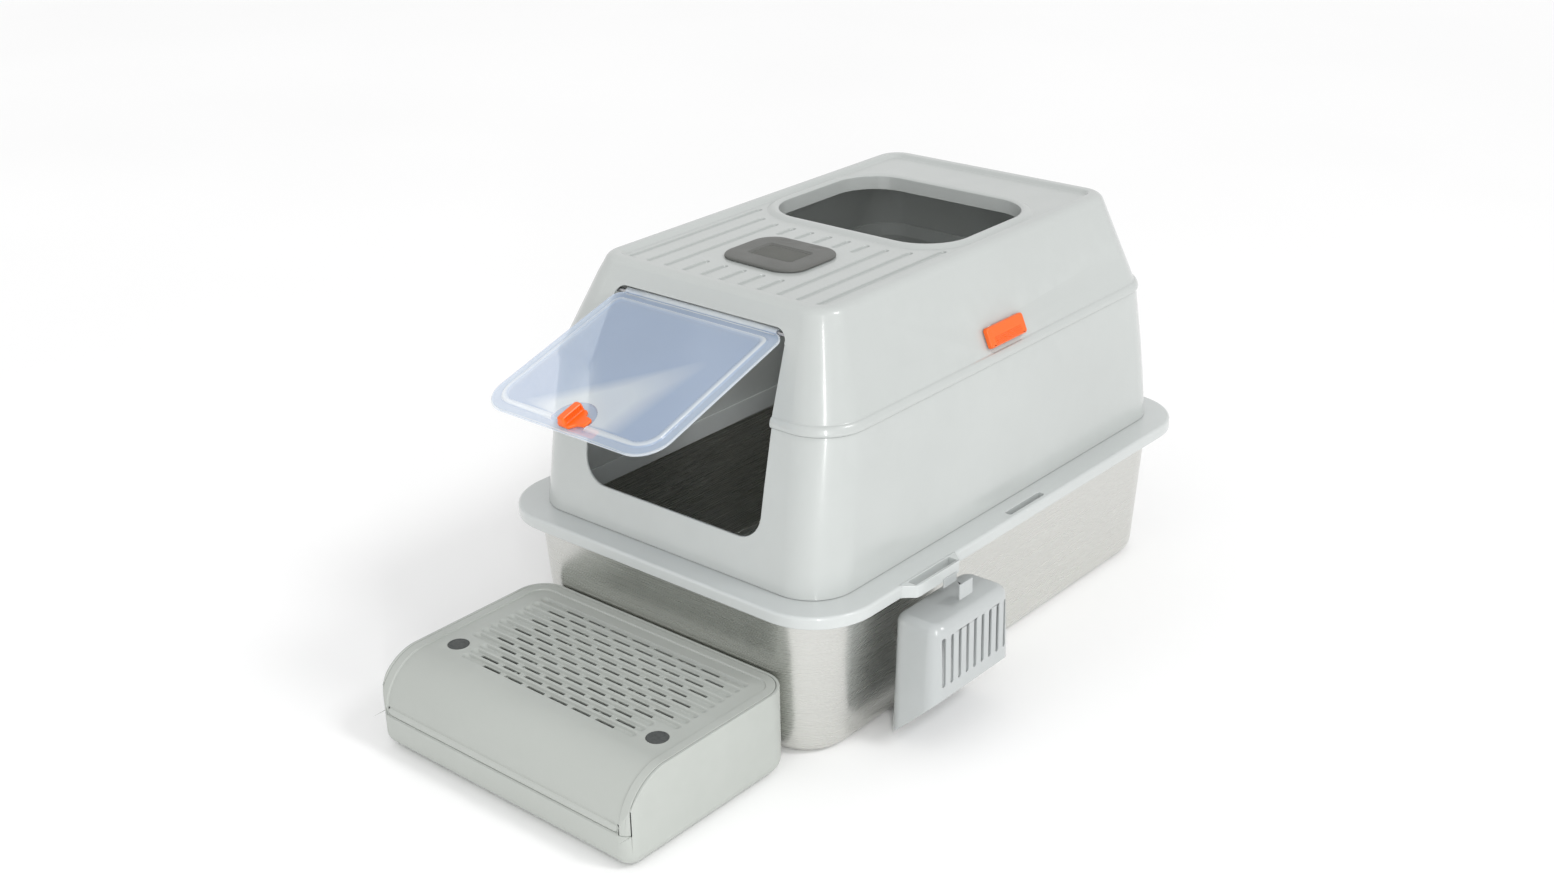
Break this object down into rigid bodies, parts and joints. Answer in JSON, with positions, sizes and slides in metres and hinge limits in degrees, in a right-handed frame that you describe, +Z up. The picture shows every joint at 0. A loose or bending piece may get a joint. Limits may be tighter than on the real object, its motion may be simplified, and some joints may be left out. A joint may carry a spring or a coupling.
{
  "type": "cat litter box with hood",
  "caption": "Hooded cat litter box: steel pan, rim frame, two-part hood with swinging entry flap and top entry hole, filter, side clips, rim-hung scoop and litter-catching step.",
  "frame": {"origin": "middle of the pan's flat underside, on the floor", "axes": "+Z up; the entry and the step face -Y; +X is the side that the scoop hangs on"},
  "size_m": [0.448, 0.789, 0.3919],
  "materials": {
    "steel": "fine vertical brushing",
    "shell_plastic": "satin moulded plastic, light grey",
    "step_plastic": "satin moulded plastic, light grey with a trace of green",
    "flap_plastic": "clear blue-tinted plastic sheet",
    "orange_plastic": "glossy moulded plastic, orange",
    "grey_plastic": "matt moulded plastic, mid grey",
    "plug_rubber": "matt dark grey rubber",
    "charcoal_felt": "charcoal-filled felt",
    "pin_steel": "plain steel wire"
  },
  "bodies": {
    "pan": {"steel_pan": "steel"},
    "rim": {"rim_frame": "shell_plastic"},
    "lower": {"lower_hood": "shell_plastic"},
    "lid": {"hood_lid": "shell_plastic", "flap_pin_left": "pin_steel", "flap_pin_right": "pin_steel", "clip_pin_left": "pin_steel", "clip_pin_right": "pin_steel"},
    "flap": {"entry_flap": "flap_plastic"},
    "latch": {"latch_knob": "orange_plastic", "latch_tongue": "orange_plastic"},
    "clip_left": {"side_clip_left": "orange_plastic"},
    "clip_right": {"side_clip_right": "orange_plastic"},
    "filter": {"filter_cover": "grey_plastic", "filter_tray": "grey_plastic", "filter_pad": "charcoal_felt"},
    "scoop": {"scoop_head": "shell_plastic", "scoop_handle": "shell_plastic"},
    "step": {"step_base": "step_plastic", "step_foot_1": "plug_rubber", "step_foot_2": "plug_rubber", "step_foot_3": "plug_rubber", "step_foot_4": "plug_rubber"},
    "step_top": {"step_cover": "step_plastic", "step_plug_left": "plug_rubber", "step_plug_right": "plug_rubber"}
  },
  "joints": [
    {"name": "rim_lift", "type": "slide", "parent": "pan", "child": "rim", "axis": [0, 0, 1], "range_m": [0, 0.06]},
    {"name": "lower_hood_lift", "type": "slide", "parent": "rim", "child": "lower", "axis": [0, 0, 1], "range_m": [0, 0.05]},
    {"name": "lid_lift", "type": "slide", "parent": "lower", "child": "lid", "axis": [0, 0, 1], "range_m": [0, 0.06]},
    {"name": "flap_swing", "type": "hinge", "parent": "lid", "child": "flap", "pos_m": [0, -0.21699, 0.366], "axis": [-1, 0, 0], "range_deg": [-55, 12]},
    {"name": "latch_turn", "type": "hinge", "parent": "flap", "child": "latch", "pos_m": [0, -0.37433, 0.31639], "axis": [0, -0.3007, 0.9537], "range_deg": [-90, 0]},
    {"name": "clip_left_swing", "type": "hinge", "parent": "lid", "child": "clip_left", "pos_m": [-0.16496, 0.005, 0.32693], "axis": [0, 1, 0], "range_deg": [0, 60]},
    {"name": "clip_right_swing", "type": "hinge", "parent": "lid", "child": "clip_right", "pos_m": [0.16496, 0.005, 0.32693], "axis": [0, -1, 0], "range_deg": [0, 60]},
    {"name": "filter_lift", "type": "slide", "parent": "lid", "child": "filter", "axis": [0, 0, 1], "range_m": [0, 0.04]},
    {"name": "scoop_lift", "type": "slide", "parent": "rim", "child": "scoop", "axis": [0, 0, 1], "range_m": [0, 0.017]},
    {"name": "step_slide", "type": "slide", "parent": "pan", "child": "step", "axis": [0, -1, 0], "range_m": [0, 0.12]},
    {"name": "step_cover_lift", "type": "slide", "parent": "step", "child": "step_top", "axis": [0, 0, 1], "range_m": [0, 0.05]}
  ]
}
